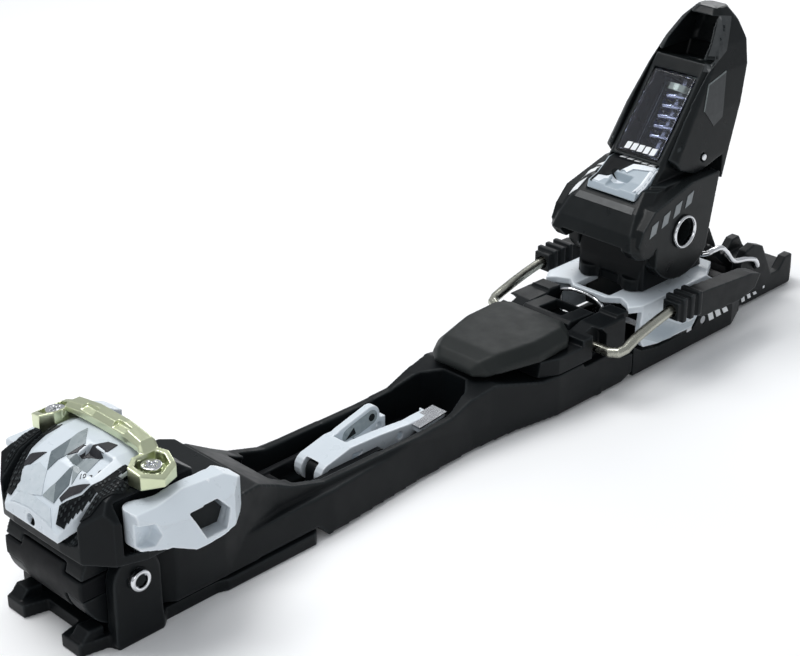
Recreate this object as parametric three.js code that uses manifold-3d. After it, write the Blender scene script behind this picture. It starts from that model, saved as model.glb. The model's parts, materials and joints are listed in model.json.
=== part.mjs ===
// Frame-type touring ski binding, closed and locked down in its ski position.
// Millimetres. -Y points to the boot's toe, +X is the skier's left, +Z is up from the ski.
// The origin is the middle of the footprint, on the ski's top surface.
import * as THREE from 'three';
import Module from 'manifold-3d';
import { mergeVertices } from 'three/addons/utils/BufferGeometryUtils.js';

const wasm = await Module();
wasm.setup();

// ---------- driving dimensions ----------
const GAP = 0.35; // clearance between pieces that touch
const FRONT = -241.5; // foremost point of the toe piece
const REAR = 241.5; // rearmost point of the frame's tail
const AXLE = { y: -217, z: 28, r: 4 }; // axle that the whole frame tilts on
const BASE_THICK = 5.5; // ski-mounted front plate
const EAR = { inner: 25.2, outer: 31, r: 11 }; // front plate's axle ears
const CHEEK = { inner: 14, outer: 24.6 }; // frame's cheeks beside the pivot carriage
const TUB = { outer: 21.3, inner: 17.4, wide: 29 }; // half widths of the frame
const DECK_Z = 40; // top of the frame under the toe piece
const SOLE_Z = 38.5; // top of the light heel plate
const PLATE = { half: 30, thick: 3.5, front: 84, back: 157 };
const LEVER = { y: -97, z: 13, reach: 26 }; // ski/walk lever's pin and link radius
const LINK_LENGTH = 60;
const TOE_SPRING_Z = 51; // axis of the toe's release spring
const WING = { x: 35, y: -219, low: 41, high: 64 }; // toe wing pivots
const BRAKE = { y: 58, z: 31, arm: 41, wire: 2.6 }; // brake wire's axis and spread
const RING = { y: 121.5, z: 67.5, r: 8.8 }; // hollow heel axle
const BARREL = { y: 126, z: 86, r: 9.6, lean: 0.58 }; // heel release spring's axis, in radians
const WINDOW = { y0: 116.4, z0: 101, y1: 144, z1: 137.6, half: 13 }; // face of the tower's window
const LEVER_PIN = { y: 142, z: 99 }; // heel lever's hinge pin
const BAIL = { y: 200, z: 22, x: 21.8, wire: 1.5 }; // climbing aid's bail
const CLIMB = { y: 196, z: 17 }; // low climbing step's hinge
const LOCK_BAR = { y: 143, z: 12.6 }; // bar of the frame that the rear catch holds down
const SCREW_Z = 25; // height of the length-adjusting screw

// ---------- materials ----------
const finish = (color, roughness, metalness) =>
  new THREE.MeshStandardMaterial({ color, roughness, metalness });
const BLACK = finish(0x24282b, 0.45, 0.0);
const DARK = finish(0x33383c, 0.6, 0.0);
const WHITE = finish(0xdfe5ea, 0.35, 0.0);
const STEEL = finish(0xc9ccd0, 0.25, 1.0);
const CHAMPAGNE = finish(0xc3cd9c, 0.3, 0.9);
const CLEAR = new THREE.MeshStandardMaterial({
  color: 0x9aa6b0, roughness: 0.05, metalness: 0, transparent: true, opacity: 0.35,
});

// ---------- solid helpers ----------
function solidOf(geometry) {
  const bare = geometry.clone();
  bare.deleteAttribute('normal');
  bare.deleteAttribute('uv');
  const merged = mergeVertices(bare, 1e-4);
  return new wasm.Manifold(new wasm.Mesh({
    numProp: 3,
    vertProperties: new Float32Array(merged.attributes.position.array),
    triVerts: new Uint32Array(merged.index.array),
  }));
}

function geometryOf(solid) {
  const mesh = solid.getMesh();
  const geometry = new THREE.BufferGeometry();
  geometry.setAttribute('position', new THREE.BufferAttribute(new Float32Array(mesh.vertProperties), 3));
  geometry.setIndex(new THREE.BufferAttribute(new Uint32Array(mesh.triVerts), 1));
  return geometry;
}

const join = (first, ...rest) => rest.reduce((sum, solid) => sum.add(solid), first);
const cut = (first, ...rest) => rest.reduce((sum, solid) => sum.subtract(solid), first);

function mirrored(solid) {
  const geometry = geometryOf(solid);
  geometry.scale(-1, 1, 1);
  const index = geometry.index.array;
  for (let i = 0; i < index.length; i += 3) {
    [index[i + 1], index[i + 2]] = [index[i + 2], index[i + 1]];
  }
  return solidOf(geometry);
}

const both = (solid) => solid.add(mirrored(solid));

function extruded(outline, depth, matrix) {
  const shape = new THREE.Shape(outline.map(([u, v]) => new THREE.Vector2(u, v)));
  const geometry = new THREE.ExtrudeGeometry(shape, { depth, bevelEnabled: false, curveSegments: 12 });
  return solidOf(geometry.applyMatrix4(matrix));
}

// Side outline of (y, z) points, extruded from x0 to x1.
const slabX = (outline, x0, x1) =>
  extruded(outline, x1 - x0, new THREE.Matrix4().set(0, 0, 1, x0, 1, 0, 0, 0, 0, 1, 0, 0, 0, 0, 0, 1));
// Front outline of (x, z) points, extruded from y0 to y1.
const slabY = (outline, y0, y1) =>
  extruded(outline, y1 - y0, new THREE.Matrix4().set(1, 0, 0, 0, 0, 0, -1, y1, 0, 1, 0, 0, 0, 0, 0, 1));
// Plan outline of (x, y) points, extruded from z0 to z1.
const slabZ = (outline, z0, z1) =>
  extruded(outline, z1 - z0, new THREE.Matrix4().makeTranslation(0, 0, z0));

function box(x0, x1, y0, y1, z0, z1) {
  const geometry = new THREE.BoxGeometry(x1 - x0, y1 - y0, z1 - z0);
  geometry.translate((x0 + x1) / 2, (y0 + y1) / 2, (z0 + z1) / 2);
  return solidOf(geometry);
}

// Plan outline that is the same on both sides: (half width, y) points from front to rear.
const plan = (points) => [...points, ...points.slice().reverse().map(([x, y]) => [-x, y])];

// Points on an arc in the outline's own plane, angles in degrees.
function arc(cu, cv, r, from, to, steps) {
  const points = [];
  for (let i = 0; i <= steps; i += 1) {
    const angle = THREE.MathUtils.degToRad(from + ((to - from) * i) / steps);
    points.push([cu + r * Math.cos(angle), cv + r * Math.sin(angle)]);
  }
  return points;
}

function rod(from, to, r, sides = 20, tip = r) {
  const start = new THREE.Vector3(...from);
  const end = new THREE.Vector3(...to);
  const geometry = new THREE.CylinderGeometry(tip, r, start.distanceTo(end), sides);
  const turn = new THREE.Quaternion().setFromUnitVectors(
    new THREE.Vector3(0, 1, 0), end.clone().sub(start).normalize());
  geometry.applyQuaternion(turn);
  const middle = start.add(end).multiplyScalar(0.5);
  geometry.translate(middle.x, middle.y, middle.z);
  return solidOf(geometry);
}

const rodX = (x0, x1, y, z, r, sides) => rod([x0, y, z], [x1, y, z], r, sides);
const rodY = (y0, y1, x, z, r, sides) => rod([x, y0, z], [x, y1, z], r, sides);
const rodZ = (z0, z1, x, y, r, sides) => rod([x, y, z0], [x, y, z1], r, sides);

// Round wire through points, with corners rounded by the curve.
function wire(points, r, steps, sides = 10) {
  const curve = new THREE.CatmullRomCurve3(points.map((p) => new THREE.Vector3(...p)), false, 'centripetal');
  const section = new THREE.Shape(arc(0, 0, r, 0, 360 - 360 / sides, sides - 1)
    .map(([u, v]) => new THREE.Vector2(u, v)));
  return solidOf(new THREE.ExtrudeGeometry(section, { steps, extrudePath: curve, bevelEnabled: false }));
}

// Skin through rings of points, all rings with the same number of points, ends closed flat.
function loft(rings) {
  const count = rings[0].length;
  const positions = rings.flat(2);
  const index = [];
  for (let i = 0; i + 1 < rings.length; i += 1) {
    for (let j = 0; j < count; j += 1) {
      const a = i * count + j;
      const b = i * count + ((j + 1) % count);
      index.push(a, b, b + count, a, b + count, a + count);
    }
  }
  const last = (rings.length - 1) * count;
  for (let j = 1; j + 1 < count; j += 1) {
    index.push(0, j + 1, j, last, last + j, last + j + 1);
  }
  const geometry = new THREE.BufferGeometry();
  geometry.setAttribute('position', new THREE.BufferAttribute(new Float32Array(positions), 3));
  geometry.setIndex(index);
  if (signedVolume(positions, index) < 0) {
    for (let i = 0; i < index.length; i += 3) {
      [index[i + 1], index[i + 2]] = [index[i + 2], index[i + 1]];
    }
    geometry.setIndex(index);
  }
  return solidOf(geometry);
}

function signedVolume(positions, index) {
  const corner = (i) => new THREE.Vector3().fromArray(positions, 3 * i);
  let volume = 0;
  for (let i = 0; i < index.length; i += 3) {
    volume += corner(index[i]).dot(corner(index[i + 1]).cross(corner(index[i + 2])));
  }
  return volume;
}

// Octagonal ring at height z: half width, front y, rear y and the size of its corner cuts.
const ringZ = (z, half, front, rear, corner) => [
  [-half, front + corner, z], [-half + corner, front, z], [half - corner, front, z],
  [half, front + corner, z], [half, rear - corner, z], [half - corner, rear, z],
  [-half + corner, rear, z], [-half, rear - corner, z],
];

const binding = new THREE.Group();

function add(name, solid, material) {
  const mesh = new THREE.Mesh(geometryOf(solid), material);
  mesh.name = name;
  binding.add(mesh);
}

// Screw with a countersunk cross-recess head, its axis along Z, head up.
function mountingScrew(x, y, headTop, tipZ) {
  const head = rod([x, y, headTop - 2.6], [x, y, headTop], 2.6, 14, 4.6);
  const shank = rodZ(tipZ, headTop - 2, x, y, 2.4, 10);
  const recess = join(box(x - 2.2, x + 2.2, y - 0.55, y + 0.55, headTop - 1.6, headTop + 1),
    box(x - 0.55, x + 0.55, y - 2.2, y + 2.2, headTop - 1.6, headTop + 1));
  return cut(join(head, shank), recess);
}

const screwHole = (x, y, top) => join(
  rodZ(-1, top + 1, x, y, 2.75, 14),
  rod([x, y, top - 2.9], [x, y, top + 0.1], 2.75, 14, 5.1));

// ---------- ski-mounted front plate ----------
const FRONT_HOLES = [[18.5, -192], [-18.5, -192], [18.5, -140], [-18.5, -140]];

function frontBase() {
  const plate = slabZ(plan([[10, -231], [12.5, -241], [24, -241], [26.5, -229], [EAR.outer, -227.5],
    [EAR.outer, -206], [27.5, -202], [27.5, -177], [29.5, -172], [29.5, -125], [27, -122.5]]), 0, BASE_THICK);
  const ear = slabX([[-228.5, 2], [-205.5, 2], [-205.9, 14],
    ...arc(AXLE.y, AXLE.z, EAR.r, 0, 180, 12), [-228.1, 14]], EAR.inner, EAR.outer);
  const toeRamp = slabX([[-241, 0], [-229, 0], [-229, 9], [-236, 9.5], [-240.5, 4.5]], EAR.inner - 9, 24);
  const bores = FRONT_HOLES.map(([x, y]) => screwHole(x, y, BASE_THICK));
  const sweep = rodX(-24.9, 24.9, AXLE.y, AXLE.z, 22.2, 48);
  const keel = box(-6, 6, -190, -132, 4, 8.4);
  return cut(join(plate, both(ear), both(toeRamp), keel),
    rodX(-40, 40, AXLE.y, AXLE.z, AXLE.r + 0.1, 28), sweep, ...bores);
}

function axleScrew(side) {
  const head = rodX(side * (EAR.outer + 0.35), side * (EAR.outer + 2.9), AXLE.y, AXLE.z, 5.1, 24);
  const neck = rodX(side * 22, side * (EAR.outer + 0.5), AXLE.y, AXLE.z, 2.3, 16);
  const socket = rodX(side * (EAR.outer + 0.9), side * (EAR.outer + 5), AXLE.y, AXLE.z, 2.7, 6);
  return cut(join(head, neck), socket);
}

function pivotAxle() {
  const shaft = rodX(-EAR.outer + 0.6, EAR.outer - 0.6, AXLE.y, AXLE.z, AXLE.r, 28);
  return cut(shaft, rodX(-40, -21, AXLE.y, AXLE.z, 2.45, 16), rodX(21, 40, AXLE.y, AXLE.z, 2.45, 16));
}

// ---------- ski-mounted rear plate ----------
const REAR_HOLES = [[13, 102], [-13, 102], [13, 168], [-13, 168]];

function rearBase() {
  const plate = slabZ(plan([[12, 90], [19, 95], [20.5, 102], [20.5, 173], [14, 180]]), 0, 6);
  const rib = both(slabX([[110, 5], [158, 5], [153, 9.5], [115, 9.5]], 15.5, 19.5));
  return cut(join(plate, rib), ...REAR_HOLES.map(([x, y]) => screwHole(x, y, 6)));
}

// Steel hook that holds the frame's lock bar down; its nose points to the rear.
function rearCatch() {
  const hook = slabX([[122, 6 + GAP], [146, 6 + GAP], [146, 8.2], [133, 8.2], [133, 14.5],
    [137.2, 14.5], [135.5, 18.5], [127, 18.5], [124, 10]], -7, 7);
  return cut(hook, rodZ(0, 12, 0, 141, 1.6, 12));
}

// ---------- pivot carriage ----------
function pivotCarriage() {
  const body = slabX([[-224, 23], [-217, 19], [-200, 20.5], [-140, 9.8], [-137, 9.8], [-137, 19],
    [-150, 30], [-200, 35.4], ...arc(AXLE.y, AXLE.z, 8, 70, 190, 8)], -CHEEK.inner + 0.5, CHEEK.inner - 0.5);
  const boss = rodX(-CHEEK.inner + 0.5, CHEEK.inner - 0.5, AXLE.y, AXLE.z, 8.2, 32);
  const rail = both(box(CHEEK.inner - 1, 16.4, -205, -152, 25.8, 30.2));
  const lightening = [-190, -168].map((y) => rodX(-30, 30, y, 27, 4, 16));
  const apron = slabX([...arc(AXLE.y, AXLE.z, 21.8, 158, 213, 12),
    ...arc(AXLE.y, AXLE.z, 18.6, 213, 155, 12)], -CHEEK.inner + 0.4, CHEEK.inner - 0.4);
  const stay = slabX([...arc(AXLE.y, AXLE.z, 21.8, 169, 191, 6), [-222, 23.9], [-222, 32.1]],
    -CHEEK.outer, CHEEK.outer);
  return cut(join(body, boss, rail, apron, stay),
    rodX(-40, 40, AXLE.y, AXLE.z, AXLE.r + 0.1, 28), ...lightening);
}

// ---------- the long frame ----------
function frameTub() {
  const upper = slabZ(plan([[CHEEK.outer, -240], [CHEEK.outer, -203], [28.5, -197], [28.5, -172],
    [TUB.outer, -138], [TUB.outer, -24], [22.5, -10], [25.5, 8], [TUB.wide, 30], [TUB.wide, 85.5]]), 0, 60);
  const skirtRing = (z, spread) => {
    const left = [[28.2, -175], [27.6, -112], [23.4, -60], [21.9, -22], [24, 8], [27, 30], [28.4, 62]]
      .map(([x, y]) => [x + spread, y, z]);
    return [...left, ...left.slice().reverse().map(([x, y]) => [-x, y, z])];
  };
  const skirt = loft([skirtRing(0, 1.4), skirtRing(24, -3)]);
  const side = slabX([
    ...arc(AXLE.y, AXLE.z, 21.4, 146, 270, 14),
    [-121.5, 6.3], [-117, 1.2], [78, 1.2], [85.5, 4], [85.5, 14], [76, 15.5], [66, 22], [20, 22],
    [-6, 28.5], [-22, 26], [-34, 21.5], [-55, 20.6], [-112, 21.6], [-130, 27], [-150, 37.6], [-178, DECK_Z],
    [-236, DECK_Z],
  ], -40, 40);
  const carriageRoom = join(
    slabX([[-260, 0], [-212, 0], [-205, 9.3], [-126, 9.3], [-126, 24], [-136, 28.6], [-151, 36.6],
      [-260, 36.6]], -CHEEK.inner, CHEEK.inner),
    box(-16.8, 16.8, -222, -148, 25.3, 30.7));
  const slot = slabX([[-260, AXLE.z - 4.5], ...arc(AXLE.y, AXLE.z, 4.5, -90, 90, 8), [-260, AXLE.z + 4.5]],
    -40, 40);
  const keelRoom = box(-6.6, 6.6, -222, -106, 0, 9.4);
  const well = join(
    slabZ(plan([[TUB.inner, -127], [TUB.inner, -32], [14, -19], [7, -11]]), 4.2, 60),
    slabZ(plan([[13.2, -136], [13.2, -126]]), 20, 60));
  const wellFloor = box(-TUB.inner, TUB.inner, -127, -120, 0, 9.3);
  const underDock = box(-22, 22, 58, 90, 0, 11);
  const brakeSlots = both(box(24, 30, BRAKE.y - 10, BRAKE.y + 8, 20, 30));
  const lowSkirt = skirt.intersect(slabX([[-180, 6.3], [-121.5, 6.3], [-117, 1.2], [70, 1.2], [70, 19],
    [-180, 19]], -40, 40));
  const hull = cut(join(upper.intersect(side), lowSkirt), carriageRoom, slot, keelRoom, cut(well, wellFloor),
    underDock, brakeSlots);
  const lug = slabX([[LEVER.y - 4.8, 3], [LEVER.y + 7, 3],
    ...arc(LEVER.y, LEVER.z, 4.6, 0, 180, 8)], -3.4, 3.4);
  return cut(join(hull, lug), rodX(-6, 6, LEVER.y, LEVER.z, 2.6, 16));
}

// ---------- ski/walk lever and its link ----------
function modeLever() {
  const { y, z, reach } = LEVER;
  const web = slabX([...arc(y, z, 6.2, 90, 262, 8), [y + reach - 3, z - 5], [y + reach + 3, z - 5],
    [y + reach + 8, z - 1.5], [y + 46, z - 0.5], [y + 61, z + 3.5], [y + 62, z + 7], [y + 48, z + 6.5],
    [y + 30, z + 8.2], [y + 12, z + 9]], -8.6, 8.6);
  const shortArm = box(-9, 0, y + 46, y + 70, 0, 60);
  const fork = slabX([[y - 8, z - 8], [y + 8, z - 8], [y + 8, z + 5.4], [y - 8, z + 5.4]], -3.9, 3.9);
  const slotRear = slabX([[y + 33, -5], [y + 70, -5], [y + 70, 40], [y + 42, 40]], -4.6, 1.6);
  const window = slabX([[y + 12, z + 0.5], [y + 20, z + 4.8], [y + 13, z + 5.2]], -20, 20);
  const rearHole = rodX(-20, 20, y + 42, z + 3, 1.8, 16);
  const tab = slabX([[y + 50, z + 2.6], [y + 66, z + 5.2], [y + 66, z + 7.2], [y + 50, z + 5.6]], 5, 13.5);
  return cut(join(web, tab), fork, slotRear, shortArm, window, rearHole,
    rodX(-20, 20, y, z, 2.6, 18), rodX(-20, 20, y + reach, z, 2.6, 18));
}

function toggleLink() {
  const { y, z, reach } = LEVER;
  const pinY = y + reach;
  const endY = pinY - LINK_LENGTH;
  const bar = both(slabX([...arc(pinY, z, 3.9, -90, 90, 8), [endY, z + 3], ...arc(endY, z, 3, 100, 260, 6),
    [endY, z - 3]], 9, 12.2));
  const bridge = box(-9.5, 9.5, endY + 5, endY + 14, z - 2.2, z + 2.2);
  return cut(join(bar, bridge), rodX(-20, 20, pinY, z, 2.45, 18), rodX(-20, 20, endY, z, 1.6, 14));
}

// ---------- toe piece ----------
const PIN_LOW = 41.2;
const PIN_HIGH = 57;

function toeHousing() {
  const outline = slabZ(plan([[15, FRONT + 2], [25, -237.5], [35.5, -229], [39.5, -217], [39, -200],
    [34, -190], [24, -184]]), 0, 100);
  const side = slabX([[-241, 44], [-237, DECK_Z + GAP], [-185, DECK_Z + GAP], [-183, 50], [-186, 62],
    [-197, 70.5], [-212, 72], [-228, 66], [-240, 54]], -60, 60);
  const shoulder = both(slabY([[26, 80], [26, 72], [39.6, 54], [50, 54], [50, 80]], -260, -150));
  const wingBay = both(join(box(30.2, 60, -226, -208.5, 44.2, WING.high + 0.6),
    slabZ([[30.2, -209], [60, -209], [60, -170], [32, -170], [30.2, -202]],
      WING.low - 0.6, WING.high + 0.6)));
  const coverBay = slabX([[-260, 47.2], [-238.5, 47.2], [-226, 59], [-213, 65], [-196, 66.4], [-196, 90],
    [-260, 90]], -24.3, 24.3);
  const bracketBay = join(box(-60, 60, -217.5, -195.5, 66.4, 90));
  const springBore = rodY(-231, -188, 0, TOE_SPRING_Z, 9, 24);
  const rearMouth = box(-6, 6, -190, -180, TOE_SPRING_Z - 5, TOE_SPRING_Z + 5);
  const shell = cut(outline.intersect(side), shoulder, wingBay, coverBay, bracketBay, springBore, rearMouth,
    rodY(-260, -230, 0, TOE_SPRING_Z, 2.6, 20));
  const pinHoles = [-1, 1].map((s) => rodZ(PIN_LOW - 0.4, 60, s * WING.x, WING.y, 2.6, 16));
  return cut(shell, ...pinHoles);
}

function toeCover() {
  const ring = (y, half, low, high) => [[-half, y, low], [half, y, low], [half, y, high - 4],
    [half - 7, y, high - 0.8], [0, y, high + 0.6], [-half + 7, y, high - 0.8], [-half, y, high - 4]];
  const skin = loft([ring(FRONT, 17, 47.8, 55), ring(-234, 21, 52.4, 63), ring(-226, 23.2, 59.4, 69.5),
    ring(-213, 23.8, 65.4, 74), ring(-204, 23.8, 66.7, 74.5)]);
  const windowHole = slabX([[-224, 50], [-214, 50], [-214, 90], [-224, 90]], 3, 17);
  const floor = slabX([[-250, 50], [-226, 66.3], [-213, 70.8], [-200, 71.3], [-200, 50]], -30, 30);
  return cut(skin, windowHole.intersect(cut(box(-60, 60, -260, -180, 40, 95), floor)),
    rodY(-260, -228, 0, TOE_SPRING_Z, 2.6, 20), rodY(-231.3, -188, 0, TOE_SPRING_Z, 9, 24));
}

const BRACKET_SCREW_X = 30.2;

function toeBracket() {
  const foot = cut(
    slabZ([[24.4, -211], [28, -216], [34.6, -215], [38.6, -207], [35.6, -199], [28.4, -196.8],
      [24.4, -199.4]], 66.8, 80),
    slabZ([[25.8, -209.8], [28.8, -213.4], [33.6, -212.6], [36.2, -207], [33.9, -201], [29, -199.4],
      [25.8, -201.2]], 69.8, 90),
    slabY([[20, 76], [24.4, 75.4], [34, 73], [40, 69.4], [40, 90], [20, 90]], -220, -190),
    rodZ(60, 90, BRACKET_SCREW_X, -206.5, 2.3, 16));
  const ring = (x, front, rear, low, high, chamfer) => [[x, front, low], [x, rear, low],
    [x, rear, high - chamfer], [x, rear - chamfer, high], [x, front + chamfer, high],
    [x, front, high - chamfer]];
  const half = [[25.4, -207.6, -198.6, 69, 75, 1.6], [22.6, -206.8, -198.4, 75.2, 79, 1.6],
    [9, -206.2, -197.6, 75.5, 80.8, 2]];
  const bridge = loft([...half, ...half.slice().reverse().map(([x, ...rest]) => [-x, ...rest])]
    .map((row) => ring(...row)));
  const notches = both(slabX([[-210, 78.2], [-202.4, 79.4], [-202.4, 90], [-210, 90]], 6, 14));
  return cut(join(bridge, both(foot)), notches);
}

function bracketScrew(side) {
  const x = side * BRACKET_SCREW_X;
  const y = -206.5;
  const head = rodZ(70.1, 73.2, x, y, 4.2, 16);
  const shank = rodZ(66.9, 71, x, y, 2, 14);
  const recess = join(box(x - 2.4, x + 2.4, y - 0.6, y + 0.6, 71.4, 80),
    box(x - 0.6, x + 0.6, y - 2.4, y + 2.4, 71.4, 80));
  return cut(join(head, shank), recess);
}

// Wing that grips one side of the boot's toe; it turns out round its pin.
function toeWing() {
  const { x, y, low, high } = WING;
  const outline = slabZ([...arc(x, y, 4.4, 150, 270, 6), [x + 7.5, -223], [46.5, -214], [48, -197],
    [46.5, -181], [41, -173.5], [33.5, -173], [31.5, -178], [33.4, -184], [34.4, -209]], low, high + 8);
  const side = slabX([[-240, 50], [-211, 46], [-201, low], [-187, low], [-175, 44], [-171, 50], [-172, 58],
    [-181, 63], [-200, high], [-213, 62.4], [-226, 62.4], [-240, 58]], 0, 80);
  const hole = slabX([[-200.5, 55.6], [-194, 44.6], [-186, 44.2], [-184.8, 50.5], [-190, 56]], 30, 60);
  const forkGap = slabX([[-240, 48.4], [-217.5, 49], [-215, 53], [-217, 58], [-240, 59.4]], x + 4.6, 60);
  const bevel = slabY([[36, high + 4], [60, high + 4], [60, 52], [48.2, 54.5]], -260, -150);
  return cut(outline.intersect(side), hole, forkGap, bevel, rodZ(0, PIN_HIGH + 0.6, x, y, 2.5, 18));
}

const wingPin = (side) => rodZ(PIN_LOW, PIN_HIGH, side * WING.x, WING.y, 2.1, 16);

// Compression spring from one end point to the other, made as one closed helix.
function coilSpring(from, to, radius, wireRadius, turns) {
  const start = new THREE.Vector3(...from);
  const axis = new THREE.Vector3(...to).sub(start);
  const turn = new THREE.Quaternion().setFromUnitVectors(
    new THREE.Vector3(0, 0, 1), axis.clone().normalize());
  const steps = turns * 10;
  const points = [];
  for (let i = 0; i <= steps; i += 1) {
    const angle = (i / 10) * 2 * Math.PI;
    const spoke = new THREE.Vector3(radius * Math.cos(angle), radius * Math.sin(angle), 0);
    points.push(spoke.applyQuaternion(turn).add(start).addScaledVector(axis, i / steps).toArray());
  }
  return wire(points, wireRadius, steps, 6);
}

function toeDinScrew() {
  const z = TOE_SPRING_Z;
  const head = rodY(-230.4, -227, 0, z, 3.6, 18);
  const shank = rodY(-227.5, -192, 0, z, 2, 14);
  const slot = join(box(-2.4, 2.4, -235, -229, z - 0.5, z + 0.5),
    box(-0.5, 0.5, -235, -229, z - 2.4, z + 2.4));
  return cut(join(head, shank), slot);
}

const toeIndicator = () => cut(rodY(-222.6, -219, 0, TOE_SPRING_Z, 8, 20),
  rodY(-240, -180, 0, TOE_SPRING_Z, 2.35, 14));

function afdBase() {
  const block = slabZ(plan([[22, -180], [26, -175], [26, -163], [20, -157]]), DECK_Z + GAP, 41.8);
  const rail = box(-16, 16, -173, -165, 41.6, 42.8);
  return join(block, rail);
}

function afdPlate() {
  const plate = slabZ(plan([[20, -179], [24, -174], [24, -163], [19, -158]]), 41.8 + GAP, 44.6);
  return cut(plate, box(-40, 40, -173.5, -164.5, 40, 43.2));
}

// ---------- brake and heel rest ----------
function brakeHousing() {
  const outline = slabZ(plan([[24, 20], [28.5, 30], [29, 60], [29, 78], [24, 82.5]]), 0, 60);
  const side = slabX([[20, 22.3], [66, 22.3], [76, 15.9], [82.5, 14.6], [82.5, 33], [78, 36.4], [60, 36.4],
    [52, 34], [22, 34]], -40, 40);
  const wingTips = both(slabX([[72, 34], [94, 34.8], [90, 37], [74, 38]], 6, 27));
  const middle = box(-15.6, 15.6, 51, 100, 24, 60);
  const axleBore = rodX(-40, 40, BRAKE.y, BRAKE.z - 4.2, BRAKE.wire + 0.45, 16);
  const armSlot = both(slabX([[54, 20], [64, 20], [64, 32], [60, 36], [54, 36]], 24, 34));
  const cavity = slabX([[30, 10], [70, 10], [76, 20], [76, 29], [30, 29]], -23, 23);
  const frontStep = box(-40, 40, 10, 47, 30.8, 60);
  return cut(join(outline.intersect(side), wingTips.intersect(box(-40, 40, 60, 82.5, 0, 60))), middle,
    axleBore, armSlot, cavity, frontStep);
}

function heelPad() {
  const ring = (y, half, low, high, soft) => [[-half, y, low], [half, y, low], [half, y, high - soft],
    [half - soft, y, high], [-half + soft, y, high], [-half, y, high - soft]];
  return loft([ring(-12, 12, 30.4, 33.6, 2), ring(-8, 17, 30.2, 37.2, 4.5), ring(-1, 20.5, 31.2, 39.4, 5),
    ring(20, 25.5, 31.2, 40.4, 5), ring(40, 25, 31.2, 41, 4.5), ring(46.5, 20, 31.4, 40.4, 4)]);
}

function brakeWire() {
  const { y, z, arm, wire: r } = BRAKE;
  const low = z - 4.2;
  const half = [[0, y, low], [20, y, low], [32, y, low], [arm - 2.5, y, low + 0.6], [arm, y + 3, low + 1.4],
    [arm, y + 12, low + 4.6], [arm, y + 36, low + 10], [arm, y + 56, low + 11]];
  const other = half.slice(1).reverse().map(([x, py, pz]) => [-x, py, pz]);
  return wire([...other, ...half], r, 48, 10);
}

// Plastic tip that digs into the snow when the brake is down.
function brakeTip() {
  const { y, z, arm } = BRAKE;
  const top = z + 6.6;
  const blade = slabX([[y + 39, top - 4.6], [y + 49, top - 4.6], [y + 60, top - 9], [y + 92, top - 10.5],
    [y + 104, top - 7.5], [y + 108, top - 1], [y + 100, top + 1.5], [y + 62, top + 4.6],
    [y + 39, top + 4.6]], arm - 4.6, arm + 4.6);
  const ribs = [42, 48, 54].map((dy) => slabX([[y + dy, top - 6.2], [y + dy + 3, top - 6.2],
    [y + dy + 3, top + 6.2], [y + dy, top + 6.2]], arm - 5.8, arm + 5.8));
  const bore = wireRoom();
  return cut(join(blade, ...ribs), bore);
}

function wireRoom() {
  const { y, z, arm, wire: r } = BRAKE;
  const low = z - 4.2;
  return wire([[arm, y + 12, low + 4.6], [arm, y + 36, low + 10], [arm, y + 56, low + 11],
    [arm, y + 58, low + 11]], r + 0.6, 18, 10);
}

function brakePedal() {
  const plate = slabX([[52.2, 33.4], [54.5, 31.9], [74, 31.9], [76, 33.2], [70, 36.6], [54, 37.4],
    [52.2, 36]], -14.8, 14.8);
  return cut(plate, slabX([[56, 20], [70, 20], [70, 60], [56, 60]], -7, 7));
}

function brakeSpring() {
  const y = 79.4;
  return wire([[-13, y, 30], [-13, y, 36], [-9, y, 38.4], [-4, y + 1, 38.8], [4, y + 1, 38.8],
    [9, y, 38.4], [13, y, 36], [13, y, 30]], 1, 40, 8);
}

// ---------- heel plate, tail ----------
function heelPlate() {
  const { half, thick, front, back } = PLATE;
  const top = slabZ(plan([[10, front + 1], [16, front + 6], [22, front + 3], [half - 4, front - 1],
    [half, front + 6], [half, back - 16], [half - 9, back]]), SOLE_Z - thick, SOLE_Z);
  const skirt = slabX([[90, SOLE_Z - 1], [88, 22], [92, 15.4], [104, 13.2], [132, 12.4], [136, 17.4],
    [150, 19], [176, 14.8], [180, 17.2], [160, 27], [143, SOLE_Z - 1]], half - 3.2, half);
  const slot = slabZ(plan([[10.4, 88], [10.4, 154]]), 0, 60);
  return cut(join(top, both(skirt)), slot);
}

function frameTail() {
  const outer = slabZ(plan([[TUB.wide, 86], [TUB.wide, 168], [24.5, 181], [19.7, 187], [19.7, 235],
    [16, REAR]]), 0, 60);
  const side = slabX([[86, 1.2], [171, 1.2], [180, 3.4], [192, 1.4], [234, 1.4], [REAR, 4], [240.5, 10],
    [235, 18.4], [229, 18], [223.5, 12], [216.5, 12], [212, 21], [206, 31.6], [198, 34.6], [191, 32.6],
    [186, 26], [184.5, 16], [182, 12.8], [178, 12.9], [150, 16.8], [139, 15.4], [134, 10.3], [104, 11],
    [92, 13.4], [86, 17]], -40, 40);
  const inner = slabZ(plan([[25.2, 80], [25.2, 166], [21.4, 178], [21.4, 180], [15.6, 188],
    [15.6, 206]]), 0, 60);
  const dock = slabX([[80, 0], [206, 0], [206, 10.5], [190, 10.5], [181, 25], [80, 25]], -40, 40);
  const openMiddle = box(-14.6, 14.6, 181, 260, 11, 60);
  const bailHoles = both(rodX(13, 30, BAIL.y, BAIL.z, BAIL.wire + 0.25, 14));
  const stepBearings = rodX(-17.6, 17.6, CLIMB.y, CLIMB.z, 2.9, 16);
  return cut(outer.intersect(side), inner.intersect(dock), openMiddle, bailHoles, stepBearings,
    rodX(-40, 40, LOCK_BAR.y, LOCK_BAR.z, 2.3, 16));
}

const lockBar = () => rodX(-28.6, 28.6, LOCK_BAR.y, LOCK_BAR.z, 2, 16);

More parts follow.
